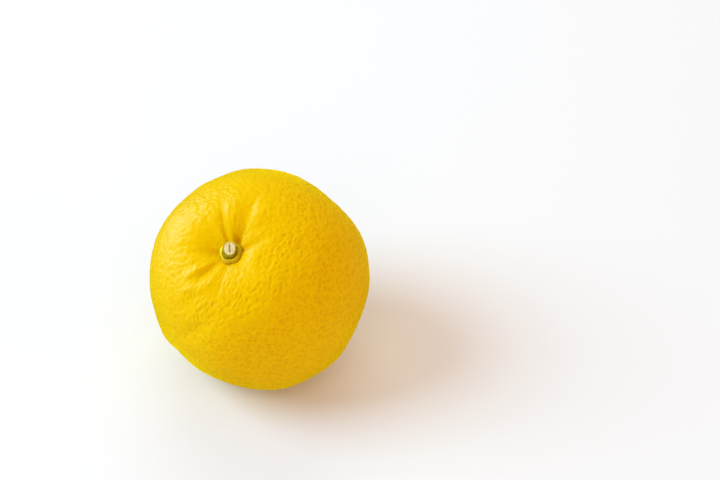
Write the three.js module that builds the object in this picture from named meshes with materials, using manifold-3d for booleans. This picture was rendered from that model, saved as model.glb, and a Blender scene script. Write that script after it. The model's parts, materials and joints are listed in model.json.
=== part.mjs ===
// A yuzu, the knobbly sour citrus fruit, as picked. It is three pieces: the whole fruit, the calyx
// that sits in the pit at its stem end, and the stub of the stalk that was cut off short.
// Yuzu seldom stand straight, and this one rests on a worn flat to one side of its blossom end, so
// its stem end leans over.
//
// Millimetres, +Z up. The origin is on the surface that the fruit rests on, under the middle of its
// bounding box.

import * as THREE from "three";
import { mergeVertices } from "three/addons/utils/BufferGeometryUtils.js";
import Module from "manifold-3d";

// ---- Driving dimensions -------------------------------------------------------------------------

const EQUATOR_RADIUS = 35; // the fruit's half width
const POLE_HEIGHT = 29.8; // from the equator to either end, before the pit and the dimple
const LEAN = THREE.MathUtils.degToRad(30); // how far the stem end tips over
const LEAN_TOWARD = THREE.MathUtils.degToRad(234); // the way it tips, anticlockwise from +X
const REST_DEPTH = 1.1; // how much of the underside is flattened where the fruit rests

const PIT = { depth: 3.3, radius: 11.0 }; // the broad dish round the stem
const THROAT = { depth: 2.3, radius: 6.2 }; // its steeper middle, where the calyx sits
const BLOSSOM_DISH = { depth: 1.1, radius: 8 };
const BLOSSOM_RING = { depth: 0.4, radius: 6.2, width: 1.1 }; // a crease round the blossom end
const STYLE_SCAR = { height: 0.7, radius: 1.3 }; // the nub that the flower's style leaves

const CALYX = { radius: 3.7, height: 2.3, lobes: 5, lobeDepth: 0.22 };
const CLEFT_AZIMUTH = THREE.MathUtils.degToRad(268); // one of the clefts between the lobes
const STUB = { radius: 2.45, tipRadius: 1.95, height: 3.9, socketDepth: 0.7 };
const STUB_BEND = { x: 0.63, y: 0.47, slant: 0.25 }; // its top's shift, and the cut's rise along +Y
const STUB_OVAL = { foot: 0.86, top: 1.04 }; // its depth over its width
const GAP = 0.3; // clearance between neighbouring pieces
const SEAT = { radius: CALYX.radius + GAP, depth: 0.6, headroom: 4 }; // the socket in the rind

const COLUMNS = 92; // round the fruit
const ROWS = 50; // from the stem end to the blossom end
const END_CROWDING = 0.5; // how much closer together the rows are at both ends
const ROUND_STEPS = 50; // round the calyx and the stub

// Furrows run out from the calyx like the gathers of a drawn purse. Each has its azimuth in degrees
// near the calyx and at its far end, its depth and half width, and where it starts and ends, as
// distances from the stem axis, in millimetres. A skew above zero makes the side with the larger
// azimuth that much gentler than the other.
const FURROWS = [
  { near: 41, far: 63, depth: 2.0, width: 1.7, start: 3, end: 24, skew: 0.5 },
  { near: 360, far: 372, depth: 0.8, width: 1.0, start: 3, end: 20, skew: 0 },
  { near: 212, far: 224, depth: 1.05, width: 2.0, start: 12, end: 24, skew: 0.2 },
  { near: 179, far: 166, depth: 1.4, width: 1.5, start: 3, end: 18, skew: 0 },
  { near: 140, far: 130, depth: 1.0, width: 4.0, start: 3, end: 18, skew: 0 },
  { near: 106, far: 103, depth: 0.6, width: 1.2, start: 5, end: 20, skew: 0 },
  { near: 256, far: 250, depth: 0.4, width: 1.3, start: 5, end: 19, skew: 0 },
  { near: 304, far: 312, depth: 0.35, width: 1.4, start: 5, end: 18, skew: 0 },
];

// Swellings and hollows in the rind. Each is an oval patch: where its middle is (degrees from the
// stem end, and azimuth), its half length and half width in millimetres, how its length is turned
// from the meridian, in degrees, and how far it stands out. A hollow has a negative height.
const SWELLINGS = [
  // Lumps and folds round the stem pit.
  { polar: 15, azimuth: 335, length: 3.0, width: 3.0, turn: 0, height: 0.8 },
  { polar: 16, azimuth: 95, length: 4.6, width: 1.1, turn: 0, height: 0.7 },
  { polar: 19, azimuth: 86, length: 5.0, width: 0.9, turn: 0, height: 0.4 },
  { polar: 20, azimuth: 204, length: 5.0, width: 1.2, turn: -5, height: 0.8 },
  { polar: 22, azimuth: 223, length: 7.0, width: 2.2, turn: -30, height: 0.9 },
  { polar: 24, azimuth: 42, length: 5.0, width: 3.0, turn: 10, height: 0.5 },
  // A fold on the front shoulder, and a short crease on the right of the stem.
  { polar: 48, azimuth: 235, length: 7.5, width: 2.4, turn: -41, height: -1.0 },
  { polar: 40, azimuth: 356, length: 3.0, width: 1.6, turn: 0, height: -0.4 },
  // The shoulders round the pit, the flatter front below them, and a broad corner beside it.
  { polar: 64, azimuth: 288, length: 13, width: 26, turn: 0, height: -1.6 },
  { polar: 33, azimuth: 298, length: 10, width: 19, turn: 0, height: 0.8 },
  { polar: 38, azimuth: 147, length: 13, width: 11, turn: 0, height: 1.0 },
  { polar: 76, azimuth: 249, length: 12, width: 12, turn: 0, height: 0.7 },
  // Corners and flats that keep the outline from being round.
  { polar: 70, azimuth: 92, length: 9, width: 9, turn: 0, height: 0.6 },
  { polar: 84, azimuth: 206, length: 5, width: 5, turn: 0, height: 1.0 },
  { polar: 61, azimuth: 114, length: 6, width: 5, turn: 0, height: 0.4 },
  { polar: 86, azimuth: 213, length: 15, width: 17, turn: 0, height: -0.9 },
  { polar: 63, azimuth: 148, length: 12, width: 15, turn: 0, height: 0.6 },
  { polar: 108, azimuth: 277, length: 10, width: 10, turn: 0, height: 1.1 },
  { polar: 112, azimuth: 305, length: 11, width: 10, turn: 0, height: 1.5 },
  { polar: 96, azimuth: 350, length: 8, width: 8, turn: 0, height: 0.6 },
  { polar: 82, azimuth: 41, length: 13, width: 12, turn: 0, height: -1.3 },
  { polar: 98, azimuth: 242, length: 9, width: 9, turn: 0, height: -0.6 },
  { polar: 112, azimuth: 20, length: 12, width: 9, turn: 30, height: 0.5 },
  { polar: 104, azimuth: 130, length: 14, width: 10, turn: 0, height: 0.6 },
  { polar: 122, azimuth: 85, length: 9, width: 12, turn: 20, height: -0.6 },
  { polar: 132, azimuth: 170, length: 10, width: 7, turn: 0, height: 0.4 },
];

// ---- Shared helpers -----------------------------------------------------------------------------

const { degToRad, smoothstep } = THREE.MathUtils;
const hump = (distance) => Math.exp(-distance * distance);

const wasm = await Module();
wasm.setup();

// A closed geometry as a manifold-3d solid.
function solidOf(geometry) {
  const bare = geometry.clone();
  bare.deleteAttribute("normal");
  bare.deleteAttribute("uv");
  const merged = mergeVertices(bare, 1e-4);
  return new wasm.Manifold(
    new wasm.Mesh({
      numProp: 3,
      vertProperties: merged.getAttribute("position").array,
      triVerts: new Uint32Array(merged.index.array),
    }),
  );
}

function geometryOf(solid) {
  const mesh = solid.getMesh();
  const geometry = new THREE.BufferGeometry();
  geometry.setAttribute("position", new THREE.BufferAttribute(mesh.vertProperties, 3));
  geometry.setIndex(new THREE.BufferAttribute(mesh.triVerts, 1));
  geometry.computeVertexNormals();
  return geometry;
}

// ---- The rind's form, in the fruit's own frame: the middle at the origin, the stem end up +Z -----

// The plain body is an ellipsoid, a little wider than it is tall.
function plainPoint(polar, azimuth) {
  return new THREE.Vector3(
    EQUATOR_RADIUS * Math.sin(polar) * Math.cos(azimuth),
    EQUATOR_RADIUS * Math.sin(polar) * Math.sin(azimuth),
    POLE_HEIGHT * Math.cos(polar),
  );
}

function plainNormal(point) {
  return new THREE.Vector3(
    point.x / EQUATOR_RADIUS ** 2,
    point.y / EQUATOR_RADIUS ** 2,
    point.z / POLE_HEIGHT ** 2,
  ).normalize();
}

// Each swelling with its middle and the two directions that its oval is measured along.
const placedSwellings = SWELLINGS.map((swelling) => {
  const polar = degToRad(swelling.polar);
  const azimuth = degToRad(swelling.azimuth);
  const middle = plainPoint(polar, azimuth);
  const normal = plainNormal(middle);
  const round = new THREE.Vector3(-Math.sin(azimuth), Math.cos(azimuth), 0);
  const turn = degToRad(swelling.turn);
  const along = new THREE.Vector3().crossVectors(round, normal).applyAxisAngle(normal, turn);
  const across = new THREE.Vector3().crossVectors(normal, along);
  return { ...swelling, middle, along, across };
});

// How far a point of the plain body is moved out by the swellings.
function swellingRelief(point) {
  let relief = 0;
  for (const { middle, along, across, length, width, height } of placedSwellings) {
    const offset = point.clone().sub(middle);
    const aside = offset.dot(along) / length;
    const over = offset.dot(across) / width;
    const through = offset.length() / (2 * Math.max(length, width));
    relief += height * hump(Math.hypot(aside, over, through));
  }
  return relief;
}

// How far a point is moved in by the furrows, reach being its distance from the axis.
function furrowRelief(reach, azimuth) {
  let relief = 0;
  for (const { near, far, depth, width, start, end, skew } of FURROWS) {
    const share = Math.min(reach / end, 1);
    const line = degToRad(near + (far - near) * Math.sin((share * Math.PI) / 2));
    const apart = azimuth - line;
    if (Math.cos(apart) < 0) continue;
    const halfWidth = width * (0.6 + share) * (1 + skew * Math.sign(Math.sin(apart)));
    const aside = (reach * Math.sin(apart)) / halfWidth;
    const fade = smoothstep(reach, 0.3 * start, start + 1) * (1 - smoothstep(share, 0.3, 1));
    relief -= depth * hump(aside) * fade;
  }
  return relief;
}

function stemEndRelief(reach, azimuth) {
  const dish = PIT.depth * hump(reach / PIT.radius) + THROAT.depth * hump(reach / THROAT.radius);
  return furrowRelief(reach, azimuth) - dish;
}

function blossomEndRelief(reach) {
  return (
    STYLE_SCAR.height * hump(reach / STYLE_SCAR.radius) -
    BLOSSOM_DISH.depth * hump(reach / BLOSSOM_DISH.radius) -
    BLOSSOM_RING.depth * hump((reach - BLOSSOM_RING.radius) / BLOSSOM_RING.width)
  );
}

function rindPoint(polar, azimuth) {
  const point = plainPoint(polar, azimuth);
  const reach = Math.hypot(point.x, point.y);
  const endRelief = point.z > 0 ? stemEndRelief(reach, azimuth) : blossomEndRelief(reach);
  return point.addScaledVector(plainNormal(point), endRelief + swellingRelief(point));
}

// ---- Pieces -------------------------------------------------------------------------------------

const lean = new THREE.Quaternion().setFromAxisAngle(
  new THREE.Vector3(-Math.sin(LEAN_TOWARD), Math.cos(LEAN_TOWARD), 0),
  LEAN,
);

// The rind as a closed grid of points, rows from the stem end and columns round the axis.
function rindGeometry() {
  const geometry = new THREE.SphereGeometry(1, COLUMNS, ROWS);
  const grid = geometry.getAttribute("uv");
  const position = geometry.getAttribute("position");
  for (let i = 0; i < grid.count; i += 1) {
    const row = Math.round((1 - grid.getY(i)) * ROWS) / ROWS;
    const column = Math.round(grid.getX(i) * COLUMNS) % COLUMNS;
    const polar = Math.PI * row - (END_CROWDING * Math.sin(2 * Math.PI * row)) / 2;
    const point = rindPoint(polar, (2 * Math.PI * column) / COLUMNS);
    position.setXYZ(i, point.x, point.y, point.z);
  }
  return geometry;
}

// The floor of the calyx's socket, measured down from the rind at the stem axis.
const seatFloor = rindPoint(0, 0).z - SEAT.depth;

function makeFruit() {
  const rind = solidOf(rindGeometry());

  // The socket is cut from its floor up through whatever rind stands over it.
  const cut = SEAT.depth + SEAT.headroom;
  const socket = new THREE.CylinderGeometry(SEAT.radius, SEAT.radius, cut, ROUND_STEPS)
    .rotateX(Math.PI / 2)
    .translate(0, 0, seatFloor + cut / 2);

  // The surface it rests on, as a slab under the leaning fruit.
  const leaning = geometryOf(rind).applyQuaternion(lean);
  leaning.computeBoundingBox();
  const slabSize = 4 * EQUATOR_RADIUS;
  const slab = new THREE.BoxGeometry(slabSize, slabSize, slabSize)
    .translate(0, 0, leaning.boundingBox.min.z + REST_DEPTH - slabSize / 2)
    .applyQuaternion(lean.clone().invert());

  const geometry = geometryOf(rind.subtract(solidOf(socket)).subtract(solidOf(slab)));
  const material = new THREE.MeshStandardMaterial({ color: 0xf2b705, roughness: 0.42, metalness: 0 });
  const fruit = new THREE.Mesh(geometry, material);
  fruit.name = "fruit";
  return fruit;
}

// A turned piece, its profile a list of [radius, height] from the axis round to the axis again.
function turned(profile) {
  const points = profile.map(([radius, height]) => new THREE.Vector2(radius, height));
  return new THREE.LatheGeometry(points, ROUND_STEPS).rotateX(Math.PI / 2);
}

// The calyx is a thick button of five sepals grown together, with a socket for the stalk.
function makeCalyx() {
  const { radius, height, lobes, lobeDepth } = CALYX;
  const socketRadius = STUB.radius + GAP;
  const socketFloor = height - STUB.socketDepth;
  const geometry = turned([
    [0, 0],
    [radius * 0.8, 0],
    [radius * 0.94, height * 0.15],
    [radius, height * 0.5],
    [radius * 0.97, height * 0.76],
    [radius * 0.88, height * 0.93],
    [radius * 0.8, height],
    [socketRadius, height * 0.94],
    [socketRadius, socketFloor],
    [0, socketFloor],
  ]);
  const position = geometry.getAttribute("position");
  for (let i = 0; i < position.count; i += 1) {
    const [x, y] = [position.getX(i), position.getY(i)];
    const outward = smoothstep(Math.hypot(x, y), socketRadius, radius);
    const cleft = (1 + Math.cos(lobes * (Math.atan2(y, x) - CLEFT_AZIMUTH))) / 2;
    const scale = 1 - (lobeDepth / radius) * cleft * outward;
    position.setXY(i, x * scale, y * scale);
  }
  const material = new THREE.MeshStandardMaterial({ color: 0xb9ad45, roughness: 0.6, metalness: 0 });
  const calyx = new THREE.Mesh(geometry, material);
  calyx.name = "calyx";
  calyx.position.z = seatFloor + GAP;
  return calyx;
}

// The stub of the stalk: a slightly oval peg, green on its side and pale where it was cut. It bends
// as it rises, and its cut face slants.
function makeStub() {
  const { radius, tipRadius, height, socketDepth } = STUB;
  const foot = CALYX.height - socketDepth + GAP;
  const geometry = turned([
    [0, foot],
    [radius * 0.96, foot],
    [radius, foot + 0.4],
    [radius * 0.97, height - 0.9],
    [(radius + tipRadius) / 2, height - 0.35],
    [tipRadius, height - 0.1],
    [tipRadius * 0.8, height],
    [0, height + 0.05],
  ]);
  const position = geometry.getAttribute("position");
  for (let i = 0; i < position.count; i += 1) {
    const [x, z] = [position.getX(i), position.getZ(i)];
    const share = ((z - foot) / (height - foot)) ** 2;
    const y = position.getY(i) * THREE.MathUtils.lerp(STUB_OVAL.foot, STUB_OVAL.top, share);
    const rise = STUB_BEND.slant * y * share;
    position.setXYZ(i, x + STUB_BEND.x * share, y + STUB_BEND.y * share, z + rise);
  }
  const material = new THREE.MeshStandardMaterial({ color: 0xd9cba0, roughness: 0.75, metalness: 0 });
  const stub = new THREE.Mesh(geometry, material);
  stub.name = "stem_stub";
  stub.position.z = seatFloor + GAP;
  return stub;
}

// ---- The part -----------------------------------------------------------------------------------

const yuzu = new THREE.Group();
yuzu.add(makeFruit(), makeCalyx(), makeStub());
yuzu.quaternion.copy(lean);

const part = new THREE.Group();
part.add(yuzu);
part.updateMatrixWorld(true);
const bounds = new THREE.Box3().setFromObject(part, true);
const middle = bounds.getCenter(new THREE.Vector3());
yuzu.position.set(-middle.x, -middle.y, -bounds.min.z);

export default part;
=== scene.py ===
# %% [markdown]
# # A yuzu, worked out as a surface
# A yuzu is a sour citrus fruit. Its rind is thick, yellow and knobbly, it is gathered into furrows
# round the stem like the mouth of a drawn purse, and it is dimpled all over by its oil glands.
# This lesson makes one whole fruit, its calyx and the cut stub of its stalk.
#
# Such a fruit could be sculpted by hand, but then nobody could say why a furrow is where it is.
# Here each feature of the rind is one short formula that says how far the rind stands out, in
# millimetres, and the fruit is the sum of them. Change a number and that one feature changes.

# %% Load the frame
import itertools
import json

import bpy
import numpy as np
from mathutils import Matrix, Vector

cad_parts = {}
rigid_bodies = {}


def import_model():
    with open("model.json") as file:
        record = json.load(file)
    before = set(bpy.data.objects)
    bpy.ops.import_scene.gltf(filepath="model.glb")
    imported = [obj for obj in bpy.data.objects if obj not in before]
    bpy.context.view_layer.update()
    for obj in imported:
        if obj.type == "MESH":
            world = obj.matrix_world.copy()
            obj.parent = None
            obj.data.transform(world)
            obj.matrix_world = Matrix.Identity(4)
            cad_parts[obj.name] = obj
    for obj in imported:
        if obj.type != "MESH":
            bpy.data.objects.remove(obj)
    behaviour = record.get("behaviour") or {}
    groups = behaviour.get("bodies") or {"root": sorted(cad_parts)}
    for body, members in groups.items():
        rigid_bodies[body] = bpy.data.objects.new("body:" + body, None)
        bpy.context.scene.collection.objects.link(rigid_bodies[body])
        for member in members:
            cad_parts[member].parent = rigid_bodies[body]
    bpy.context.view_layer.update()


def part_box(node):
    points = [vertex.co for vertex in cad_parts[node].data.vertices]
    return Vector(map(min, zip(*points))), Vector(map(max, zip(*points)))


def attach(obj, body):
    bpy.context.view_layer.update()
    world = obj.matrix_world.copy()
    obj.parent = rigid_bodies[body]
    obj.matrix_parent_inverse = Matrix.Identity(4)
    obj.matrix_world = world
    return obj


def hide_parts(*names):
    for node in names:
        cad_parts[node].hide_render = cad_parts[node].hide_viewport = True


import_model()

MM = 0.001  # the formulas are in millimetres, and Blender's unit is the metre
fruit_box = np.array(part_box("fruit")) / MM
print("the fruit's box in mm:", fruit_box.round(2).tolist())

# %% [markdown]
# ## Two shapes to build with
# A hump is the bell that most lumps, dishes and furrows are made from: one at its middle, and
# fading to nothing without a corner. A ramp goes smoothly from zero to one between two values,
# so that a feature can start and stop without leaving an edge.

# %% Humps and ramps
def hump(distance):
    """A bell: e to the power of minus the distance squared."""
    return np.exp(-np.square(distance))


def ramp(value, start, end):
    """0 before start, 1 after end, and between them 3t² - 2t³ of the share t of the way."""
    share = np.clip((value - start) / (end - start), 0, 1)
    return share * share * (3 - 2 * share)


print("a hump at 0, 1 and 2 widths from its middle:", hump(np.arange(3)).round(2).tolist())
print("a ramp from 0 to 4, at each step:", ramp(np.arange(5), 0, 4).round(2).tolist())

# %% [markdown]
# ## The plain body
# Under its lumps a yuzu is a slightly flattened ball. It could start as a ready-made sphere that
# is squashed and then pushed about. Here every point comes from two parameters instead: the
# polar angle from the stem end, and the azimuth round the stem axis. A grid of those two numbers
# is the whole mesh, so each feature can be worked out for all points at once.

# %% The flattened ball
EQUATOR_RADIUS = 35
POLE_HEIGHT = 29.8


def plain_point(polar, azimuth):
    """The ellipsoid: R sin p cos a, R sin p sin a, H cos p."""
    return np.stack([
        EQUATOR_RADIUS * np.sin(polar) * np.cos(azimuth),
        EQUATOR_RADIUS * np.sin(polar) * np.sin(azimuth),
        POLE_HEIGHT * np.cos(polar) * np.ones_like(azimuth),
    ], axis=-1)


def plain_normal(point):
    """The gradient of the ellipsoid, each coordinate over its half axis squared, at length one."""
    steep = point / np.square([EQUATOR_RADIUS, EQUATOR_RADIUS, POLE_HEIGHT])
    return steep / np.linalg.norm(steep, axis=-1, keepdims=True)


print("the plain body:", 2 * EQUATOR_RADIUS, "mm wide and", 2 * POLE_HEIGHT, "mm end to end")

# %% [markdown]
# ## The two ends
# The stem sits in a dish with a steeper throat. The other end, where the blossom was, has a
# shallow dish with a crease round it, and a small nub in its middle where the style fell off.
# Both could be turned like pottery. Humps of the distance from the stem axis give the same
# dishes, and they can be added to all the other reliefs.

# %% Stem pit and blossom end
PIT = {"depth": 3.3, "radius": 11.0}
THROAT = {"depth": 2.3, "radius": 6.2}
BLOSSOM_DISH = {"depth": 1.1, "radius": 8}
BLOSSOM_RING = {"depth": 0.4, "radius": 6.2, "width": 1.1}
STYLE_SCAR = {"height": 0.7, "radius": 1.3}


def stem_dish(reach):
    """Two humps taken away, wide and narrow; reach is the distance from the stem axis."""
    return -(PIT["depth"] * hump(reach / PIT["radius"])
             + THROAT["depth"] * hump(reach / THROAT["radius"]))


def style_scar(reach):
    """A hump of the distance from the stem axis, as wide as the nub."""
    return hump(reach / STYLE_SCAR["radius"])


def blossom_dish(reach):
    """A nub, less a wide hump, less a hump wrapped round a circle."""
    return (STYLE_SCAR["height"] * style_scar(reach)
            - BLOSSOM_DISH["depth"] * hump(reach / BLOSSOM_DISH["radius"])
            - BLOSSOM_RING["depth"]
            * hump((reach - BLOSSOM_RING["radius"]) / BLOSSOM_RING["width"]))


print("the stem pit is", round(-float(stem_dish(0)), 2), "mm deep at the axis")

# %% [markdown]
# ## Two marks beside the calyx
# A fine warm line of painted shade runs round the calyx, where the rind folds in under it, and
# beside it the deepest furrow ends in a small notch that is coloured brown. They could be painted
# on alone. Here each is a share from 0 to 1 that both sinks the rind and, later, colours it, so
# that the mark and its hollow always lie together.

# %% The crease and the notch
CALYX_RADIUS = 3.7
CREASE = {"radius": 3.9, "width": 0.6, "depth": 0.15}
NOTCH = {"reach": 5.4, "azimuth": np.radians(62), "radius": 1.1, "depth": 0.6}


# the crease's share also colours the rind round the calyx a deeper amber: painted shade where the
# calyx meets the rind
def crease_and_shade_share(reach):
    """A hump of the distance from a circle round the calyx."""
    return hump((reach - CREASE["radius"]) / CREASE["width"])


def notch_share(point):
    """A hump of the distance from one spot, measured square to the stem axis."""
    return hump(np.hypot(
        point[..., 0] - NOTCH["reach"] * np.cos(NOTCH["azimuth"]),
        point[..., 1] - NOTCH["reach"] * np.sin(NOTCH["azimuth"])) / NOTCH["radius"])


print("the crease lies", round(CREASE["radius"] - CALYX_RADIUS, 2), "mm outside the calyx")

# %% [markdown]
# ## The furrows
# The rind is drawn in round the stem, and folds as cloth does when it is gathered. Each furrow
# starts at the calyx at one azimuth, swings towards another as it runs out, widens and fades.
# A cloth simulation could fold the skin, but not in chosen places. Here a furrow is a hump
# across its own line, so its depth is one product of three factors.

# %% Furrows that swing as they run out
FURROWS = [
    # azimuth at the calyx and at the far end; depth, half width, start and end in mm; skew
    (41, 63, 2.0, 1.7, 3, 24, 0.5),
    (360, 372, 0.8, 1.0, 3, 20, 0),
    (209, 221, 1.2, 1.8, 7, 26, 0.2),
    (179, 166, 1.4, 1.5, 3, 18, 0),
    (140, 130, 1.0, 4.0, 3, 18, 0),
    (102, 97, 1.3, 1.2, 4, 22, 0),
    (256, 250, 0.4, 1.3, 5, 19, 0),
    (304, 312, 0.35, 1.4, 5, 18, 0),
]
FURROW_NECK = 0.6  # times its half width at the axis, and 1.6 times at its far end
FURROW_RISE = 0.3  # it begins to sink at this share of its start
FURROW_FADE = 0.3  # and begins to fade at this share of its end


def furrows(reach, azimuth):
    """Less a hump of the sideways distance from each furrow's line, faded along its length.
    A skew above zero makes the side with the larger azimuth that much gentler."""
    relief = np.zeros_like(reach)
    for near, far, depth, width, start, end, skew in FURROWS:
        share = np.minimum(reach / end, 1)
        line = np.radians(near + (far - near) * np.sin(share * np.pi / 2))
        apart = azimuth - line
        half_width = width * (FURROW_NECK + share) * (1 + skew * np.sign(np.sin(apart)))
        aside = reach * np.sin(apart) / half_width
        near_side = np.cos(apart) > 0
        length_fade = (ramp(reach, FURROW_RISE * start, start + 1)
                       * (1 - ramp(share, FURROW_FADE, 1)))
        relief -= near_side * depth * hump(aside) * length_fade
    return relief


print(len(FURROWS), "furrows, up to", max(row[2] for row in FURROWS), "mm deep")

# %% [markdown]
# ## Swellings and hollows
# A ripe yuzu is never a true ball: it has broad corners, flats between them, and a few folds
# pushed up beside the furrows. A lattice or a sculpting brush could push them out. Here each is
# an oval hump laid on the rind, raised or sunk, so one row of a table holds all about it.

# %% The table of swellings
SWELLINGS = [
    # polar, azimuth; half length and half width in mm; turn from the meridian; height in mm
    # lumps and folds round the stem pit
    (15, 335, 3.0, 3.0, 0, 0.8),
    (17, 90, 4.6, 1.0, 0, 0.7),
    (19, 80, 5.0, 0.9, 0, 0.4),
    (11, 165, 4.5, 4.5, 0, -0.7),
    (20, 204, 5.0, 1.2, -5, 0.8),
    (25, 221, 7.0, 2.2, -30, 1.2),
    (24, 42, 5.0, 3.0, 10, 0.5),
    # a fold on the front shoulder, and a short crease on the right of the stem
    (48, 235, 7.5, 2.4, -41, -1.0),
    (40, 356, 3.0, 1.6, 0, -0.4),
    # the shoulders round the pit, the flatter front below them, and a broad corner beside it
    (64, 288, 13, 26, 0, -1.6),
    (33, 298, 10, 19, 0, 0.8),
    (38, 147, 13, 11, 0, 1.0),
    (76, 249, 12, 12, 0, 0.7),
    # corners and flats that keep the outline from being round
    (70, 92, 9, 9, 0, 0.6),
    (84, 206, 5, 5, 0, 1.0),
    (61, 114, 6, 5, 0, 0.4),
    (86, 213, 15, 17, 0, -0.9),
    (63, 148, 12, 15, 0, 0.6),
    (108, 277, 10, 10, 0, 1.1),
    (112, 305, 11, 10, 0, 1.2),
    (96, 350, 8, 8, 0, 0.6),
    (82, 41, 13, 12, 0, -1.3),
    (98, 242, 9, 9, 0, -0.6),
    (112, 20, 12, 9, 30, 0.5),
    (104, 130, 14, 10, 0, 0.6),
    (122, 85, 9, 12, 20, -0.6),
    (132, 170, 10, 7, 0, 0.4),
]
heights = [row[-1] for row in SWELLINGS]
print(sum(height > 0 for height in heights), "swellings and",
      sum(height < 0 for height in heights), "hollows")

# %% Oval humps
THINNING = 2  # each also fades over this many of its larger half size, so none comes out behind


def swellings(point):
    """Each height times a hump of the offset from its middle, measured along and across it."""
    relief = np.zeros(point.shape[:-1])
    for polar, azimuth, length, width, turn, height in SWELLINGS:
        azimuth, turn = np.radians(azimuth), np.radians(turn)
        middle = plain_point(np.radians(polar), azimuth)
        outward = plain_normal(middle)
        round_way = np.array([-np.sin(azimuth), np.cos(azimuth), 0])
        down_way = np.cross(round_way, outward)
        along = down_way * np.cos(turn) + np.cross(outward, down_way) * np.sin(turn)
        across = np.cross(outward, along)
        offset = point - middle
        through = np.linalg.norm(offset, axis=-1) / (THINNING * max(length, width))
        apart = np.sqrt(
            (offset @ along / length) ** 2 + (offset @ across / width) ** 2 + through**2
        )
        relief += height * hump(apart)
    return relief


facing = plain_point(np.radians([64.0]), np.radians([288.0]))
print("the swellings add up to", swellings(facing).round(2)[0], "mm at the flatter front")

# %% [markdown]
# ## Noise for the knobbles
# Knobbles are irregular, yet neighbours blend into each other. Gradient noise has both: every
# corner of a lattice of cubes gets a random direction, and a point in a cube blends what its
# eight corners say. Blender has such textures, but it is written out here so that the same
# numbers shape the mesh on each run.

# %% Gradient noise
LATTICE = 32
NOISE_GAIN = 1.6  # brings the sum to about -1 to 1


def noise(position, seed):
    """About -1 to 1. Each cube corner gives its random direction dotted with the offset from it,
    weighted by the fade 6t⁵ - 15t⁴ + 10t³ along each axis."""
    slopes = np.random.default_rng(seed).normal(size=(LATTICE, LATTICE, LATTICE, 3))
    slopes /= np.linalg.norm(slopes, axis=-1, keepdims=True)
    cell = np.floor(position).astype(int)
    share = position - cell
    fade = share**3 * (share * (share * 6 - 15) + 10)
    total = np.zeros(position.shape[:-1])
    for corner in itertools.product((0, 1), repeat=3):
        i, j, k = np.moveaxis((cell + corner) % LATTICE, -1, 0)
        weight = np.prod(np.where(corner, fade, 1 - fade), axis=-1)
        total += weight * np.sum(slopes[i, j, k] * (share - corner), axis=-1)
    return NOISE_GAIN * total


sampled = noise(np.linspace(0, 30, 500)[:, None] * [1, 0.7, 0.4], 1)
print("noise along a line runs from", sampled.min().round(2), "to", sampled.max().round(2))

# %% Puffs, and a pattern of a given size
PUFF_SOFTNESS = 0.01  # how rounded the creases between puffs are
PUFF_MIDDLE = 0.3  # taken away, so that puffs are about as much above zero as below


def puffs(position, seed):
    """Rounded lumps with creases between them: the root of the noise squared plus a little, which
    is the noise's size with its sharp zero rounded off, less the middle."""
    return np.sqrt(noise(position, seed) ** 2 + PUFF_SOFTNESS) - PUFF_MIDDLE


def relief_of(pattern, point, look):
    """The height of a look times its pattern, read at the point over the size of the look."""
    return look["height"] * pattern(point / look["size"], look["seed"])


print("a puff's crease lies at", round(PUFF_SOFTNESS**0.5 - PUFF_MIDDLE, 2))

# %% [markdown]
# ## Gathers round the stem
# Near the stem the skin is drawn in, so its knobbles turn into ridges that run outwards. They
# could be drawn as many small furrows. Noise read on a narrow cylinder round the stem axis does
# this by itself: its ridges are pressed together near the axis and widen with the reach.

# %% Gathers
GATHERS = {"height": 0.22, "ridges": 4, "length": 6, "seed": 11}
FINE_GATHERS = {"height": 0.09, "ridges": 13, "length": 5, "seed": 12}
GATHERS_START = (CALYX_RADIUS, 7)  # the reach in mm over which they rise
GATHERS_END = (14, 26)  # and over which they fade
GATHERS_LOST = 0.6  # how much the broad ones give way where the skin is wrinkled


def on_cylinder(reach, azimuth, ridges, length):
    """A place on a cylinder round the axis; ridges sets how many fit round it."""
    return np.stack([ridges * np.cos(azimuth), ridges * np.sin(azimuth), reach / length], -1)


def gathers(reach, azimuth, wrinkled):
    """Puffs on a wide cylinder plus noise on a wider one, between the calyx and the shoulders."""
    broad, fine = (on_cylinder(reach, azimuth, look["ridges"], look["length"])
                   for look in (GATHERS, FINE_GATHERS))
    ridges = (GATHERS["height"] * puffs(broad, GATHERS["seed"]) * (1 - GATHERS_LOST * wrinkled)
              + FINE_GATHERS["height"] * noise(fine, FINE_GATHERS["seed"]))
    return ridges * ramp(reach, *GATHERS_START) * (1 - ramp(reach, *GATHERS_END))


print("the gathers fade out", GATHERS_END[1], "mm from the stem axis")

# %% [markdown]
# ## Two kinds of skin
# A yuzu isn't equally rough all round. On the low side of the leaning stem its skin is closely
# wrinkled, and on the high shoulder across from it the skin is smoother. Masks could be painted
# on the mesh. Ramps of the two angles have soft edges, and one number moves each.

# %% Where the skin is wrinkled, and where it is smooth
WRINKLED_TOWARD = np.radians(295)
WRINKLED_SIDE = (-0.2, 0.5)  # the cosine of the angle from there at which they start and are full
WRINKLED_END = np.radians([33, 52])  # the polar angles over which they fade
SMOOTH_TOWARD = np.radians(130)
SMOOTH_SIDE = (0, 0.8)
SMOOTH_END = np.radians([60, 80])


def wrinkled_share(polar, azimuth):
    """1 on the low side of the stem, and 0 elsewhere: a ramp round times a ramp down."""
    in_front = ramp(np.cos(azimuth - WRINKLED_TOWARD), *WRINKLED_SIDE)
    return in_front * (1 - ramp(polar, *WRINKLED_END))


def smooth_share(polar, azimuth):
    """1 on the smoother shoulder, and 0 elsewhere: a ramp round times a ramp down."""
    behind = ramp(np.cos(azimuth - SMOOTH_TOWARD), *SMOOTH_SIDE)
    return behind * (1 - ramp(polar, *SMOOTH_END))


circle = np.radians(np.arange(360))
print("beside the stem", round(100 * wrinkled_share(0.0, circle).mean()), "% of a turn is wrinkled")

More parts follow.
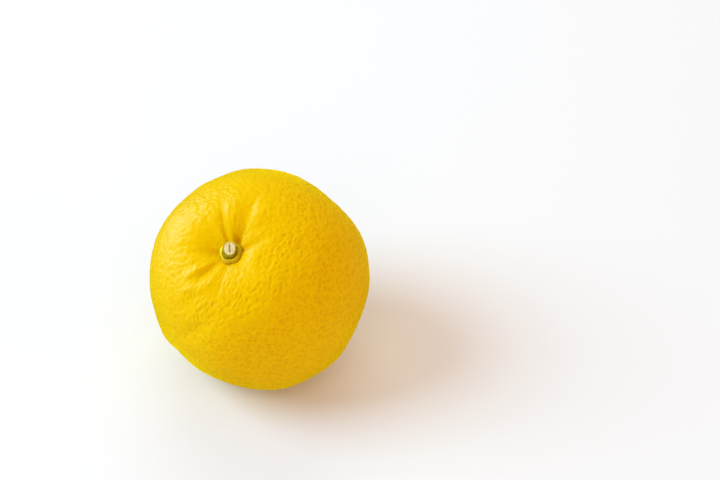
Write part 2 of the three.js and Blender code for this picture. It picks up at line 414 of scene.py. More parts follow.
# %% [markdown]
# ## Wrinkles, lumps and waves
# The wrinkles are short ridges that run one way. Away from them the knobbles are as long as they
# are wide, and they fade down the sides, where only pebbles and slow waves are left. All of them
# could be one noise, but skin has several sizes of roughness, each with its own place.

# %% Wrinkles
NEAR_WRINKLES = {"height": 0.55, "size": 0.9, "seed": 13}
FAR_WRINKLES = {"height": 0.75, "size": 1.25, "seed": 18}
NEAR_LENGTH, FAR_LENGTH = 5, 2.0  # how many times longer than wide they are
WRINKLES_CHANGE = (9, 16)  # the reach in mm over which near ones turn into far ones
WRINKLE_RUN = np.array([0.66, 0.71, 0.24])  # the way the wrinkles run, in the fruit's own frame


def drawn_out(point, factor):
    """The point with its part along the wrinkles divided by factor, so that noise is longer."""
    along = point @ WRINKLE_RUN / np.sum(WRINKLE_RUN**2)
    return point - (along * (1 - 1 / factor))[..., None] * WRINKLE_RUN


def wrinkles(point, reach):
    """Puffs turned inside out, so that their creases stand up as ridges: the near ones and the
    far ones, each times its share of the way out."""
    farther = ramp(reach, *WRINKLES_CHANGE)
    return -(relief_of(puffs, drawn_out(point, NEAR_LENGTH), NEAR_WRINKLES) * (1 - farther)
             + relief_of(puffs, drawn_out(point, FAR_LENGTH), FAR_WRINKLES) * farther)


print("the wrinkles are about", NEAR_LENGTH * NEAR_WRINKLES["size"], "mm long beside the stem and",
      FAR_LENGTH * FAR_WRINKLES["size"], "mm farther out")

# %% Lumps, pebbles and waves
LUMPS = {"height": 0.31, "size": 2.4, "seed": 14}
LUMPS_END = np.radians([30, 65])
PEBBLES = {"height": 0.12, "size": 1.3, "seed": 17}
PEBBLES_THIN = np.radians([50, 80])  # over these polar angles the pebbles lose PEBBLES_LOST
PEBBLES_LOST = 0.5
WAVES = {"height": 0.15, "size": 9, "seed": 15}
RIPPLES = {"height": 0.08, "size": 4, "seed": 16}
OPEN_SKIN = (5, 12)  # the reach in mm over which these rise, outside the stem pit


def knobbles(point, reach, azimuth, polar):
    """The gathers, plus what rises outside the stem pit: the wrinkles times their share, the
    lumps where there are none, the pebbles and the waves."""
    stem_side = polar < np.pi / 2
    wrinkled = wrinkled_share(polar, azimuth)
    lumps = (relief_of(puffs, point, LUMPS) * (1 - wrinkled)
             * (1 - ramp(polar, *LUMPS_END)))
    pebbles = relief_of(noise, point, PEBBLES) * (1 - PEBBLES_LOST * ramp(polar, *PEBBLES_THIN))
    waves = relief_of(noise, point, WAVES) + relief_of(noise, point, RIPPLES)
    open_skin = np.where(stem_side, ramp(reach, *OPEN_SKIN), 1)
    return (gathers(reach, azimuth, wrinkled) * stem_side
            + open_skin * (wrinkles(point, reach) * wrinkled + lumps + pebbles + waves))


print("the knobbles are", LUMPS["size"], "mm and the pebbles", PEBBLES["size"], "mm in size")

# %% [markdown]
# ## Dimples
# Citrus skin is pitted where each oil gland lies under it. On this yuzu the pits are about a
# millimetre and a half apart, close to evenly spaced but never in rows. Points thrown at random
# would leave bare spots and clusters. Points on a golden-angle spiral are evenly spaced, and a
# random nudge takes away the spiral.

# %% Places for the oil glands
PIT_SPACING = 1.6
PIT_NUDGE = 0.18  # as a share of the spacing
AREA_POWER = 1.6  # the power in the usual short formula for an ellipsoid's area
CELL_SHARE = 0.87  # the area of a hexagon over the square of the distance between neighbours
GOLDEN_ANGLE = np.pi * (3 - np.sqrt(5))
GLAND_SEED = 21


def body_area():
    """4 pi times the mean of the half axes' products in pairs, each to the power p, and that mean
    to the power 1/p."""
    equator = EQUATOR_RADIUS**(2 * AREA_POWER)
    side = (EQUATOR_RADIUS * POLE_HEIGHT)**AREA_POWER
    return 4 * np.pi * ((equator + 2 * side) / 3)**(1 / AREA_POWER)


def gland_points(count, nudge, seed):
    """Spiral points: the height falls evenly, and each turns on by the golden angle."""
    order = np.arange(count) + 0.5
    polar = np.arccos(1 - 2 * order / count)
    azimuth = order * GOLDEN_ANGLE
    random = np.random.default_rng(seed)
    return plain_point(polar, azimuth) + random.normal(scale=nudge, size=(count, 3))


pit_count = round(body_area() / (PIT_SPACING**2 * CELL_SHARE))
glands = gland_points(pit_count, PIT_NUDGE * PIT_SPACING, GLAND_SEED)
print(pit_count, "dimples on", round(body_area() / 100), "square centimetres")

# %% The nearest gland to each point
BLOCK = 4096  # points measured at a time, to spare memory


def nearest(points, centres):
    """For each point, how far its nearest centre is and which one it is. The squared distance
    is the sum of both squared lengths less twice the dot product."""
    flat = points.reshape(-1, 3).astype(np.float32)
    centres = centres.astype(np.float32)
    squares = np.sum(centres**2, axis=-1)
    apart, which = [], []
    for start in range(0, len(flat), BLOCK):
        block = flat[start:start + BLOCK]
        gaps = squares - 2 * block @ centres.T + np.sum(block**2, axis=-1)[:, None]
        which.append(gaps.argmin(axis=-1))
        apart.append(np.sqrt(np.maximum(gaps.min(axis=-1), 0)))
    shape = points.shape[:-1]
    return np.concatenate(apart).reshape(shape), np.concatenate(which).reshape(shape)


winding = plain_point(np.linspace(0.3, 2.8, 200), np.linspace(0, 40, 200))
away = nearest(winding, glands)[0]
print("a place on the skin is", away.mean().round(2), "mm from its nearest gland on average")

# %% Dimples over the oil glands
PIT_RADIUS = 0.56
PIT_DEPTH = 0.3
PIT_SIZES = (0.75, 1.25)  # each pit's radius is between these shares of PIT_RADIUS
PIT_STRENGTHS = (0.7, 1)
PITS_AT_STEM = 0.4  # this share of the depth beside the stem, and all of it farther down
PITS_DEEPEN = np.radians([28, 52])
LOST_IN_WRINKLES = 0.7
LOST_ON_SMOOTH = 0.6
PIT_SEED = 22

random = np.random.default_rng(PIT_SEED)
pit_sizes = PIT_RADIUS * random.uniform(*PIT_SIZES, pit_count)
pit_strengths = random.uniform(*PIT_STRENGTHS, pit_count)


def dimples(point, polar, azimuth):
    """A hump of the distance to the nearest gland over that pit's size, times its strength, and
    shallower near the stem, among the wrinkles and on the smoother shoulder."""
    apart, which = nearest(point, glands)
    pits = pit_strengths[which] * hump(apart / pit_sizes[which])
    shallow = ((PITS_AT_STEM + (1 - PITS_AT_STEM) * ramp(polar, *PITS_DEEPEN))
               * (1 - LOST_IN_WRINKLES * wrinkled_share(polar, azimuth))
               * (1 - LOST_ON_SMOOTH * smooth_share(polar, azimuth)))
    return pits * shallow


print("pits from", pit_sizes.min().round(2), "to", pit_sizes.max().round(2), "mm in radius")

# %% [markdown]
# ## The rind
# Now the grid. Rows run from the stem end to the blossom end and columns run round, with one
# point at each end so that the skin is closed. Rows could be evenly spaced, but then the finest
# skin would need as many points everywhere. So they lie closest together where the skin is
# finest, on the shoulder round the stem.

# %% All the reliefs together
# where the mark passes 1 the rind is coloured dark brown: the notch and the scar
NOTCH_TONE = 1.2  # marks over 1 are browned, and the notch and the scar are
SCAR_TONE = 1.9


def rind_surface(polar, azimuth):
    """The plain point moved out along its normal by the sum of all the reliefs, and a mark that
    says how deep the pits are, where the crease's painted shade lies and where the skin is brown."""
    point = plain_point(polar, azimuth)
    reach = np.hypot(point[..., 0], point[..., 1])
    stem_side = polar < np.pi / 2
    end = np.where(stem_side, stem_dish(reach) + furrows(reach, azimuth), blossom_dish(reach))
    pits = dimples(point, polar, azimuth)
    crease = stem_side * crease_and_shade_share(reach)
    notch = stem_side * notch_share(point)
    scar = ~stem_side * style_scar(reach)
    relief = end + swellings(point) + knobbles(point, reach, azimuth, polar)
    relief -= PIT_DEPTH * pits + CREASE["depth"] * crease + NOTCH["depth"] * notch
    # the mark colours the rind: the pits partly their own colour and partly painted shade, the
    # crease as painted shade, the notch and the scar brown
    mark = np.maximum(pits, crease) + NOTCH_TONE * notch + SCAR_TONE * scar
    return point + plain_normal(point) * relief[..., None], mark


print("the pits, the crease and the notch sink the rind by up to",
      [PIT_DEPTH, CREASE["depth"], NOTCH["depth"]], "mm")

# %% Rows that crowd where the skin is finest
RIND_COLUMNS = 400
RIND_ROWS = 248
FINE_AT = np.radians(38)
FINE_WIDTH = np.radians(25)
FINE_CROWDING = 0.6  # this many more rows to the degree there, as a share
STEPS_A_ROW = 20

polar_steps = np.linspace(0, np.pi, STEPS_A_ROW * RIND_ROWS)
rows_so_far = np.cumsum(1 + FINE_CROWDING * hump((polar_steps - FINE_AT) / FINE_WIDTH))
row_polar = np.interp(np.linspace(rows_so_far[0], rows_so_far[-1], RIND_ROWS + 1),
                      rows_so_far, polar_steps)
column_azimuth = np.linspace(0, 2 * np.pi, RIND_COLUMNS, endpoint=False)
polar, azimuth = np.meshgrid(row_polar, column_azimuth, indexing="ij")
row_gaps = np.diff(row_polar) * EQUATOR_RADIUS
print("rows from", row_gaps.min().round(2), "to", row_gaps.max().round(2), "mm apart")

# %% [markdown]
# ## Lean it and set it down
# The fruit doesn't stand on its blossom end. It leans until a slightly flattened patch of rind
# carries it. It could be turned as an object, but a finished piece sits at the origin, unturned,
# so its points are turned instead. The patch could be cut off flat; bending the lowest points
# up to the table's level keeps the skin in one smooth piece.

# %% Lean it and set it down
LEAN = np.radians(30)  # the stem end tips over by this much
LEAN_TOWARD = np.radians(234)  # and this way, anticlockwise from +X
REST_DEPTH = 1.1  # how much of the underside is flattened where the fruit rests
FLAT_ROUNDING = 0.15  # how gently the flat meets the round, in mm

lean = np.array(Matrix.Rotation(LEAN, 3, (-np.sin(LEAN_TOWARD), np.cos(LEAN_TOWARD), 0)))
rind_points, rind_mark_and_shade = rind_surface(polar, azimuth)
leaning = rind_points @ lean.T
low, high = leaning.reshape(-1, 3).min(axis=0), leaning.reshape(-1, 3).max(axis=0)
shift = np.append(((fruit_box[0] + fruit_box[1]) / 2 - (low + high) / 2)[:2], -low[2] - REST_DEPTH)
placed = leaning + shift
placed[..., 2] = (placed[..., 2] + np.sqrt(placed[..., 2] ** 2 + FLAT_ROUNDING**2)) / 2
print("the leaning rind measures", (high - low).round(2).tolist(), "mm")

# %% [markdown]
# ## From a grid to a mesh
# A mesh needs its points in one list and its faces as rows of numbers of points. Faces could be
# added one at a time; here the numbers of all of them are worked out as whole arrays, and the
# faces point outwards because each goes round its corners the same way.

# %% A closed mesh from rings of points
def grid_mesh(name, rings, first, last):
    """A closed mesh: a first point, rings of points one after another, and a last point."""
    row_count, columns = rings.shape[:2]
    vertices = np.concatenate([[first], rings.reshape(-1, 3), [last]])
    here = 1 + np.arange(row_count * columns).reshape(row_count, columns)
    beside = np.roll(here, -1, axis=1)
    quads = np.stack([here[:-1], here[1:], beside[1:], beside[:-1]], axis=-1).reshape(-1, 4)
    top = np.stack([np.zeros(columns, int), here[0], beside[0]], axis=-1)
    bottom = np.stack([np.full(columns, len(vertices) - 1), beside[-1], here[-1]], axis=-1)
    mesh = bpy.data.meshes.new(name)
    mesh.from_pydata(vertices.tolist(), [], quads.tolist() + top.tolist() + bottom.tolist())
    mesh.shade_smooth()
    piece = bpy.data.objects.new(name, mesh)
    bpy.context.scene.collection.objects.link(piece)
    print(name, len(vertices), "points", 2 * len(quads) + 2 * columns, "triangles")
    return piece


def write_share(piece, name, rings, first, last):
    """Gives a grid mesh one number for each point, in the order in which its points were made,
    for a material to read."""
    values = np.concatenate([[first], rings.ravel(), [last]]).astype(np.float32)
    piece.data.attributes.new(name, "FLOAT", "POINT").data.foreach_set("value", values)
    print(name, "runs from", values.min().round(2), "to", values.max().round(2))


rind = grid_mesh("rind", placed[1:-1] * MM, placed[0, 0] * MM, placed[-1, 0] * MM)
write_share(rind, "pit", rind_mark_and_shade[1:-1], rind_mark_and_shade[0, 0], rind_mark_and_shade[-1, 0])

# %% Where the calyx and the stalk go
def in_place(points):
    """From the fruit's own frame, stem end up, to where the fruit rests, in metres: turned by
    the lean, and then moved by the shift."""
    return (points @ lean.T + shift) * MM


seat_height = rind_points[0, 0, 2]
print("the stem seat is", round(float(seat_height), 2), "mm above the fruit's middle")

# %% [markdown]
# ## The calyx
# The calyx is what is left of the flower's green cup: five sepals grown together into a thick
# button, with a shallow cleft between each two. It could be five pieces merged by a boolean.
# One turned profile whose radius is pulled in at the clefts is closed from the start. One side
# of the button, turned away from the key lamp, is painted a duller, darker tan: painted shade,
# with some real drying. A share from 0 to 1 keeps that for its colour.

# %% A smooth line through a few points
def smooth_line(points, count):
    """A Catmull-Rom curve: each span leaves its points along the line joining their neighbours."""
    points = np.asarray(points, float)
    padded = np.concatenate([2 * points[:1] - points[1:2], points, 2 * points[-1:] - points[-2:-1]])
    place = np.linspace(0, len(points) - 1, count)
    span = np.minimum(place.astype(int), len(points) - 2)
    t = (place - span)[:, None]
    a, b, c, d = (padded[span + step] for step in range(4))
    return 0.5 * (2 * b + (c - a) * t + (2 * a - 5 * b + 4 * c - d) * t**2
                  + (3 * b - a - 3 * c + d) * t**3)


CALYX_PROFILE = [  # share of the radius, share of the height
    (0.50, -0.55), (0.80, -0.55), (0.93, -0.3), (0.985, 0.0), (1.0, 0.3), (0.985, 0.55),
    (0.94, 0.75), (0.87, 0.89), (0.78, 0.97), (0.70, 0.99), (0.665, 0.94), (0.64, 0.80), (0.5, 0.6),
]
CALYX_ROWS = 60
calyx_line = smooth_line(CALYX_PROFILE, CALYX_ROWS)[::-1]
print(len(CALYX_PROFILE), "points of the profile became", len(calyx_line))

# %% The calyx's surface
CALYX_HEIGHT = 1.7
LOBES = 5
CLEFT = {"azimuth": np.radians(268), "depth": 0.22, "pull": 0.07, "sharpness": 4}
PULL_SPAN = (0.7, 1)  # the shares of the radius over which the clefts pull the rim in
SINK_SPAN = (0.72, 0.95)  # over which they sink the top
BUMPS_SPAN = (0.6, 0.8)  # and over which the roughness sets in
CALYX_BUMPS = {"height": 0.10, "size": 1.1, "seed": 31}
CALYX_GRIT = {"height": 0.05, "size": 0.45, "seed": 32}
BUMPS_WAY = [1, 1, 0.5]  # the roughness stands out half as far up as sideways


def calyx_surface(share_round, share_up, azimuth):
    """The profile turned round the axis, pulled in at five clefts and roughened a little. A cleft
    is a power of half of one plus the cosine of five times the azimuth."""
    cleft = ((1 + np.cos(LOBES * (azimuth - CLEFT["azimuth"]))) / 2) ** CLEFT["sharpness"]
    pulled = CLEFT["pull"] * cleft * ramp(share_round, *PULL_SPAN)
    radius = CALYX_RADIUS * share_round * (1 - pulled)
    height = CALYX_HEIGHT * share_up - CLEFT["depth"] * cleft * ramp(share_round, *SINK_SPAN)
    point = np.stack([radius * np.cos(azimuth), radius * np.sin(azimuth), height], -1)
    bumps = relief_of(noise, point, CALYX_BUMPS) + relief_of(noise, point, CALYX_GRIT)
    outward = point * BUMPS_WAY / CALYX_RADIUS
    return point + outward * (bumps * ramp(share_round, *BUMPS_SPAN))[..., None]


print("the calyx is", 2 * CALYX_RADIUS, "mm across")

# %% The calyx
CALYX_LIFT = 0.3  # its underside is this far above the seat
CALYX_COLUMNS = 160
SHADE_AND_DRY_TOWARD = np.radians(315)
SHADE_AND_DRY_EDGE = {"height": 0.3, "size": 1.5, "seed": 33}  # noise that makes the dried edge ragged
SHADE_AND_DRY_SPAN = (-1, 0.2)

share_round, around = np.meshgrid(calyx_line[:, 0],
                                  np.linspace(0, 2 * np.pi, CALYX_COLUMNS, endpoint=False),
                                  indexing="ij")
share_up = np.broadcast_to(calyx_line[:, 1:], share_round.shape)
calyx_points = calyx_surface(share_round, share_up, around) + [0, 0, seat_height + CALYX_LIFT]
calyx = grid_mesh("calyx_button", in_place(calyx_points),
                  *in_place(calyx_points[[0, -1]].mean(axis=1)))
# the side that gets the darker tan: painted shade away from the key lamp, with some real drying,
# and a ragged edge
ragged = relief_of(noise, calyx_points, SHADE_AND_DRY_EDGE)
shade_and_dry_share = ramp(np.cos(around - SHADE_AND_DRY_TOWARD) + ragged, *SHADE_AND_DRY_SPAN)
write_share(calyx, "shade_and_dry", shade_and_dry_share, shade_and_dry_share[0, 0], shade_and_dry_share[-1, 0])

# %% [markdown]
# ## The stub of the stalk
# The stalk was cut off short. Its side is green bark with fine ribs, and the cut face is pale
# wood with a dark slit where the pith has split. The stub bends a little, its face slants, and
# its oval turns from flat to deep on the way up. A cylinder with a painted slit would be
# quicker, but a slit that is cut into the mesh shows from every side.

# %% The stub's shape
STUB = {"foot": 0.95, "top": 3.33, "bend": (0.63, 0.47), "slant": 0.25}
STUB_OVAL = (0.86, 1.04)  # its depth over its width, at the foot and at the top
STUB_PROFILE = [  # radius and height in mm, from the foot up the bark and over the cut face
    (1.2, 0.95), (2.40, 0.95), (2.47, 1.35), (2.42, 1.9), (2.38, 2.4), (2.28, 2.78), (2.1, 3.05),
    (1.98, 3.2), (1.88, 3.27), (1.75, 3.26), (1.5, 3.24), (1.2, 3.27), (0.9, 3.3), (0.6, 3.32),
    (0.3, 3.33), (0.1, 3.33),
]
STUB_ROWS = 120
RIBS = {"height": 0.05, "ridges": 5, "length": 2.5, "seed": 41}
BROAD_RIBS = {"height": 0.10, "ridges": 1.6, "length": 2.5, "seed": 42}
stub_line = smooth_line(STUB_PROFILE, STUB_ROWS)[::-1]


def ribs(height, azimuth):
    """The sum of two noises on cylinders, each with its own number of ridges."""
    return sum(look["height"] * noise(
        on_cylinder(height, azimuth, look["ridges"], look["length"]), look["seed"])
        for look in (RIBS, BROAD_RIBS))


print("the stub stands", round(STUB["top"] - STUB["foot"], 2), "mm out of the calyx's middle")

# %% The stub's surface
SLIT = {"azimuth": np.radians(81), "half_width": 0.2, "depth": 0.4, "ends": (0.8, 1.5)}
SLIT_WAVER = {"height": 0.08, "turns": 2.2}
WOOD_GRAIN = {"height": 0.05, "size": 0.5, "seed": 43}
BARK_START = (1.8, 2.1)  # radii in mm between which the ribs begin
FACE_END = (1.7, 1.95)  # and between which the cut face ends


def stub_surface(radius, height, azimuth):
    """The profile turned, ribbed on its side, and slit across its face. With the square of the
    height it bends, its face slants, and its oval changes."""
    spread = radius * (1 + ribs(height, azimuth) * ramp(radius, *BARK_START))
    rise = np.square((height - STUB["foot"]) / (STUB["top"] - STUB["foot"]))
    oval = STUB_OVAL[0] + (STUB_OVAL[1] - STUB_OVAL[0]) * rise
    x, y = spread * np.cos(azimuth), spread * np.sin(azimuth) * oval
    along = x * np.cos(SLIT["azimuth"]) + y * np.sin(SLIT["azimuth"])
    across = (-x * np.sin(SLIT["azimuth"]) + y * np.cos(SLIT["azimuth"])
              - SLIT_WAVER["height"] * np.sin(SLIT_WAVER["turns"] * along))
    slit = hump(across / SLIT["half_width"]) * (1 - ramp(np.abs(along), *SLIT["ends"]))
    face = 1 - ramp(radius, *FACE_END)
    grain = relief_of(noise, np.stack([x, y, 0 * x], -1), WOOD_GRAIN)
    z = height + face * (grain - SLIT["depth"] * slit) + STUB["slant"] * y * rise
    x, y = x + STUB["bend"][0] * rise, y + STUB["bend"][1] * rise
    return np.stack([x, y, z], -1), slit * face, 1 - face


print("the slit is about", 2 * SLIT["ends"][0], "mm long and", SLIT["depth"], "mm deep")

# %% The stub
STUB_COLUMNS = 160
radius, around = np.meshgrid(stub_line[:, 0],
                             np.linspace(0, 2 * np.pi, STUB_COLUMNS, endpoint=False),
                             indexing="ij")
height = np.broadcast_to(stub_line[:, 1:], radius.shape)
stub_points, slit_share, bark_share = stub_surface(radius, height, around)
stub_points = stub_points + [0, 0, seat_height + CALYX_LIFT]
stub = grid_mesh("stalk_stub", in_place(stub_points),
                 *in_place(stub_points[[0, -1]].mean(axis=1)))
write_share(stub, "slit", slit_share, slit_share[0, 0], slit_share[-1, 0])
write_share(stub, "bark", bark_share, bark_share[0, 0], bark_share[-1, 0])

# %% [markdown]
# ## Finishes
# Each finish is a Principled shader fed by a few nodes. Nodes can be laid out by hand in the
# shader editor. A small helper makes them and their links here, so that each material reads as
# a list of what it mixes. Its colours are red, green, blue and opacity, from 0 to 1.

# %% A helper for materials
class Finish:
    """A node material with a Principled shader; add() makes a node and links its inputs."""

    def __init__(self, name, **constants):
        self.material = bpy.data.materials.new(name)
        self.material.use_nodes = True
        self.tree = self.material.node_tree
        self.shader = self.tree.nodes["Principled BSDF"]
        for socket, value in constants.items():
            self.shader.inputs[socket.replace("_", " ")].default_value = value

    def set_or_link(self, node, socket, value):
        """A number or colour is set on the socket, and another node's output is linked to it."""
        if isinstance(value, bpy.types.NodeSocket):
            self.tree.links.new(value, node.inputs[socket])
        else:
            node.inputs[socket].default_value = value

    def add(self, kind, inputs=(), **settings):
        """Makes a node of a kind, with its settings and its inputs."""
        node = self.tree.nodes.new(kind)
        for key, value in settings.items():
            setattr(node, key, value)
        for socket, value in dict(inputs).items():
            self.set_or_link(node, socket, value)
        return node

    def attribute(self, name):
        """The number that the mesh keeps for each point under this name."""
        return self.add("ShaderNodeAttribute", attribute_name=name).outputs["Fac"]

    def grain(self, size_mm, detail=2.0, roughness=0.5):
        """Noise on Object coordinates with blobs of about this size."""
        place = self.add("ShaderNodeTexCoord").outputs["Object"]
        return self.add("ShaderNodeTexNoise", {
            "Vector": place, "Scale": 1 / (size_mm * MM), "Detail": detail,
            "Roughness": roughness}).outputs["Fac"]

    def mix(self, share, first, second):
        """The first colour where the share is 0 and the second where it is 1. A Mix node keeps
        its colours in the sockets numbered 6 and 7, and their mix in output 2."""
        return self.add("ShaderNodeMix", {0: share, 6: first, 7: second},
                        data_type="RGBA").outputs[2]

    def between(self, value, low, high, out_low=0.0, out_high=1.0):
        """A value that goes from low to high, stretched to go from out_low to out_high."""
        return self.add("ShaderNodeMapRange", {
            "Value": value, "From Min": low, "From Max": high,
            "To Min": out_low, "To Max": out_high}).outputs["Result"]

    def bump(self, height, distance_mm, strength):
        """Tilts the light on the surface as if the height were cut into it."""
        node = self.add("ShaderNodeBump", {"Height": height, "Strength": strength,
                                           "Distance": distance_mm * MM})
        self.feed("Normal", node.outputs["Normal"])

    def feed(self, socket, value):
        """Links a node's output to one of the shader's own sockets."""
        self.tree.links.new(value, self.shader.inputs[socket])

    def cover(self, piece):
        """Gives a piece this finish and no other."""
        piece.data.materials.clear()
        piece.data.materials.append(self.material)
        print(piece.name, "wears", self.material.name, "of", len(self.tree.nodes), "nodes")


# %% [markdown]
# ## The rind's skin
# Ripe yuzu skin is a strong yellow with almost no blue in it. In the pits it is painted deeper
# and warmer, partly the glands' own colour and partly painted shade where light has passed through
# more skin; the crease round the calyx gets the same amber as painted shade, and the notch and the
# scar are coloured brown. Real skin scatters light inside itself, which could be done with
# subsurface. That washes out relief as fine as this, so a warm tinted sheen lifts the edges
# instead, and the wax is a faint gloss that fine grain breaks up.

# %% Rind
GOLD = (0.77, 0.472, 0.0, 1)
LIGHT_GOLD = (0.78, 0.492, 0.0, 1)
DEEP_GOLD = (0.75, 0.45, 0.0, 1)
PIT_AMBER_AND_SHADE = (0.65, 0.33, 0.0, 1)
DARK_BROWN = (0.40, 0.15, 0.0, 1)

skin = Finish("yuzu rind", Specular_IOR_Level=0.06, Specular_Tint=(1, 0.9, 0.4, 1),
              Sheen_Weight=1.0, Sheen_Roughness=0.35, Sheen_Tint=(1, 0.85, 0.0, 1))
patches = skin.grain(14, detail=3)  # broad and faint
mottle = skin.grain(1.2, detail=2)  # as small as the dimples
ground = skin.mix(skin.between(patches, 0.35, 0.65), GOLD, LIGHT_GOLD)
ground = skin.mix(skin.between(mottle, 0.4, 0.7, 0, 0.35), ground, DEEP_GOLD)
# the pits' amber is partly the glands' own colour and partly painted shade; the crease round the
# calyx gets it as painted shade
pitted = skin.mix(skin.between(skin.attribute("pit"), 0.1, 0.9, 0, 0.75), ground, PIT_AMBER_AND_SHADE)
# dark brown in the notch and on the scar
marked = skin.mix(skin.between(skin.attribute("pit"), 1.0, 1.9, 0, 0.9), pitted, DARK_BROWN)
skin.feed("Base Color", marked)
skin.feed("Roughness", skin.between(mottle, 0.3, 0.7, 0.24, 0.36))
skin.bump(skin.grain(1.1, detail=3, roughness=0.6), 0.25, 1.0)
skin.cover(rind)

# %% [markdown]
# ## The calyx's skin
# The calyx is yellow-green where it is fresh, and on the side turned away from the key lamp it is
# painted a duller, darker tan: painted shade, with some real drying. Both are blotched. One colour
# would look like moulded plastic. So two blotched colours are made, and the share that the mesh
# keeps says where each one goes.

# %% Calyx
FRESH_GREEN = (0.70, 0.60, 0.0, 1)
FRESH_YELLOW = (0.86, 0.62, 0.01, 1)
SHADED_DRY_OLIVE = (0.50, 0.40, 0.0, 1)
SHADED_DRY_TAN = (0.62, 0.39, 0.01, 1)

sepal = Finish("calyx skin", Specular_IOR_Level=0.06)
blotches = sepal.grain(1.2, detail=3)
fresh = sepal.mix(sepal.between(blotches, 0.35, 0.65), FRESH_GREEN, FRESH_YELLOW)
# the darker tan is painted shade on the side turned away from the key lamp, with some real drying
shade_and_dry = sepal.mix(sepal.between(blotches, 0.35, 0.65), SHADED_DRY_OLIVE, SHADED_DRY_TAN)
sepal.feed("Base Color", sepal.mix(sepal.attribute("shade_and_dry"), fresh, shade_and_dry))
sepal.feed("Roughness", sepal.between(blotches, 0.3, 0.7, 0.45, 0.6))
sepal.bump(sepal.grain(0.25), 0.03, 0.7)
sepal.cover(calyx)

# %% [markdown]
# ## Bark and cut wood
# The stub's bark is a dark olive, and its cut face is mottled cream with a brown slit. They
# could be two materials on two sets of faces. One material that mixes them by the shares which
# the mesh keeps has a soft edge between bark and wood, as the real one has.

# %% Stalk
WOOD_PALE = (0.79, 0.67, 0.34, 1)
WOOD_DARK = (0.56, 0.42, 0.18, 1)
BARK_OLIVE = (0.36, 0.30, 0.0, 1)
BARK_BROWN = (0.25, 0.17, 0.0, 1)
SLIT_BROWN = (0.22, 0.16, 0.10, 1)

stalk = Finish("stalk", Specular_IOR_Level=0.1)
fibre = stalk.grain(0.4, detail=2)
wood = stalk.mix(stalk.between(fibre, 0.4, 0.6), WOOD_PALE, WOOD_DARK)
bark = stalk.mix(stalk.between(fibre, 0.35, 0.65), BARK_OLIVE, BARK_BROWN)
sawn = stalk.mix(stalk.attribute("bark"), wood, bark)
# the slit is coloured dark brown
split = stalk.mix(stalk.between(stalk.attribute("slit"), 0.2, 1.0), sawn, SLIT_BROWN)
stalk.feed("Base Color", split)
stalk.feed("Roughness", stalk.between(fibre, 0.3, 0.7, 0.6, 0.8))
stalk.bump(fibre, 0.04, 0.6)
stalk.cover(stub)

# %% [markdown]
# ## The table
# The fruit lies on a plain white table that fills the view. A curved backdrop would do as well,
# but a camera that looks down sees nothing but table. Its white is a little cool, to balance the
# warm room, and it is kept out of the gloss so that it doesn't grey the skin's deep yellow.

# %% Floor
FLOOR_HALF = 4.0
floor_mesh = bpy.data.meshes.new("floor")
floor_mesh.from_pydata([(-FLOOR_HALF, -FLOOR_HALF, 0), (FLOOR_HALF, -FLOOR_HALF, 0),
                        (FLOOR_HALF, FLOOR_HALF, 0), (-FLOOR_HALF, FLOOR_HALF, 0)],
                       [], [(0, 1, 2, 3)])
floor = bpy.data.objects.new("floor", floor_mesh)
bpy.context.scene.collection.objects.link(floor)
floor.visible_glossy = False
paper = Finish("white table", Base_Color=(0.79, 0.806, 0.803, 1), Roughness=0.9,
               Specular_IOR_Level=0.1)
paper.cover(floor)

# %% [markdown]
# ## Light
# The fruit stands in a bright room beside a large window. One lamp would leave its far side
# black, so the room itself gives a warm fill. A big cool lamp on the left shapes the fruit, one
# behind brightens its far edge, a low warm one stands for light that comes back from the right,
# and one in front keeps the near side open.
#
# These light the colours of things and not their gloss. The gloss has a low lamp of its own,
# behind on the left, because the small patches of shine on the skin are then easy to place.

# %% The room
ROOM_LIGHT = (0.655, 0.475, 0.455, 1)
world = bpy.data.worlds.new("white room")
bpy.context.scene.world = world
world.use_nodes = True
world.node_tree.nodes["Background"].inputs["Color"].default_value = ROOM_LIGHT
world.node_tree.nodes["Background"].inputs["Strength"].default_value = 1
world.cycles_visibility.glossy = False
print("the room's light:", ROOM_LIGHT[:3])

# %% The lamps
LAMP_AWAY = 2.2  # metres from the fruit
LAMPS = [
    # name, azimuth and elevation in degrees, width in m, watts, colour, lights the gloss alone
    ("key", 177, 39, 1.6, 41, (0.63, 0.98, 1.22), False),
    ("back", 90, 35, 2.0, 16, (0.8, 1, 0.9), False),
    ("warm", 340, 12, 1.4, 8.5, (1, 0.8, 0.3), False),
    ("front", 270, 45, 2.0, 12, (0.9, 0.74, 0.5), False),
    ("sheen", 150, 14, 1.9, 80, (0.6, 0.9, 1.6), True),
]


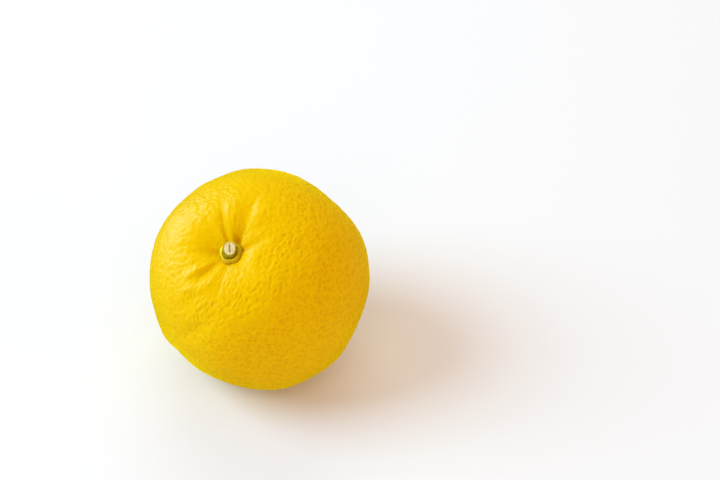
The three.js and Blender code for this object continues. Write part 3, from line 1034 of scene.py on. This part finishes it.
def soft_lamp(name, azimuth, elevation, size, energy, colour, for_gloss):
    """A round soft box, LAMP_AWAY metres from the fruit along its azimuth and elevation, and
    turned to face it. It lights either the gloss of things or their colour, never both."""
    data = bpy.data.lights.new(name, "AREA")
    data.color = colour
    data.shape = "DISK"
    data.size = size
    data.energy = energy
    data.cycles.use_multiple_importance_sampling = for_gloss
    lamp = bpy.data.objects.new(name, data)
    azimuth, elevation = np.radians(azimuth), np.radians(elevation)
    lamp_from = Vector((np.cos(azimuth) * np.cos(elevation), np.sin(azimuth) * np.cos(elevation),
                        np.sin(elevation)))
    lamp.location = lamp_from * LAMP_AWAY
    lamp.rotation_mode = "QUATERNION"
    lamp.rotation_quaternion = (-lamp_from).to_track_quat("-Z", "Y")
    lamp.visible_glossy = for_gloss
    lamp.visible_diffuse = not for_gloss
    bpy.context.scene.collection.objects.link(lamp)


for row in LAMPS:
    soft_lamp(*row)
print(len(LAMPS), "lamps")

# %% [markdown]
# ## Camera
# The camera looks down at 45 degrees through a long lens, so that the stem end is seen and the
# fruit isn't swollen by perspective. It could be aimed with a constraint; a place and one turn
# are enough.

# %% Camera
CAMERA_AT = (31.65, -436.92, 483.78)  # mm
CAMERA_TILT = np.radians(45)  # up from straight down
LONG_LENS = 100  # mm, on the usual sensor
SENSOR_WIDTH = 36
camera_data = bpy.data.cameras.new("camera")
camera_data.lens = LONG_LENS
camera_data.sensor_width = SENSOR_WIDTH
camera = bpy.data.objects.new("camera", camera_data)
camera.location = Vector(CAMERA_AT) * MM
camera.rotation_euler = (CAMERA_TILT, 0, 0)
bpy.context.scene.collection.objects.link(camera)
bpy.context.scene.camera = camera
bpy.context.scene.view_settings.view_transform = "Standard"
print("the camera is", round(camera.location.length, 2), "m from where the fruit rests")

# %% [markdown]
# ## Hand over
# Each piece takes the place of its solid and rides on the fruit's one body.

# %% Hand over to the frame
for piece, node, slot in ((rind, "fruit", "rind"), (calyx, "calyx", "calyx"),
                          (stub, "stem_stub", "stalk")):
    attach(piece, "root")
    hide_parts(node)
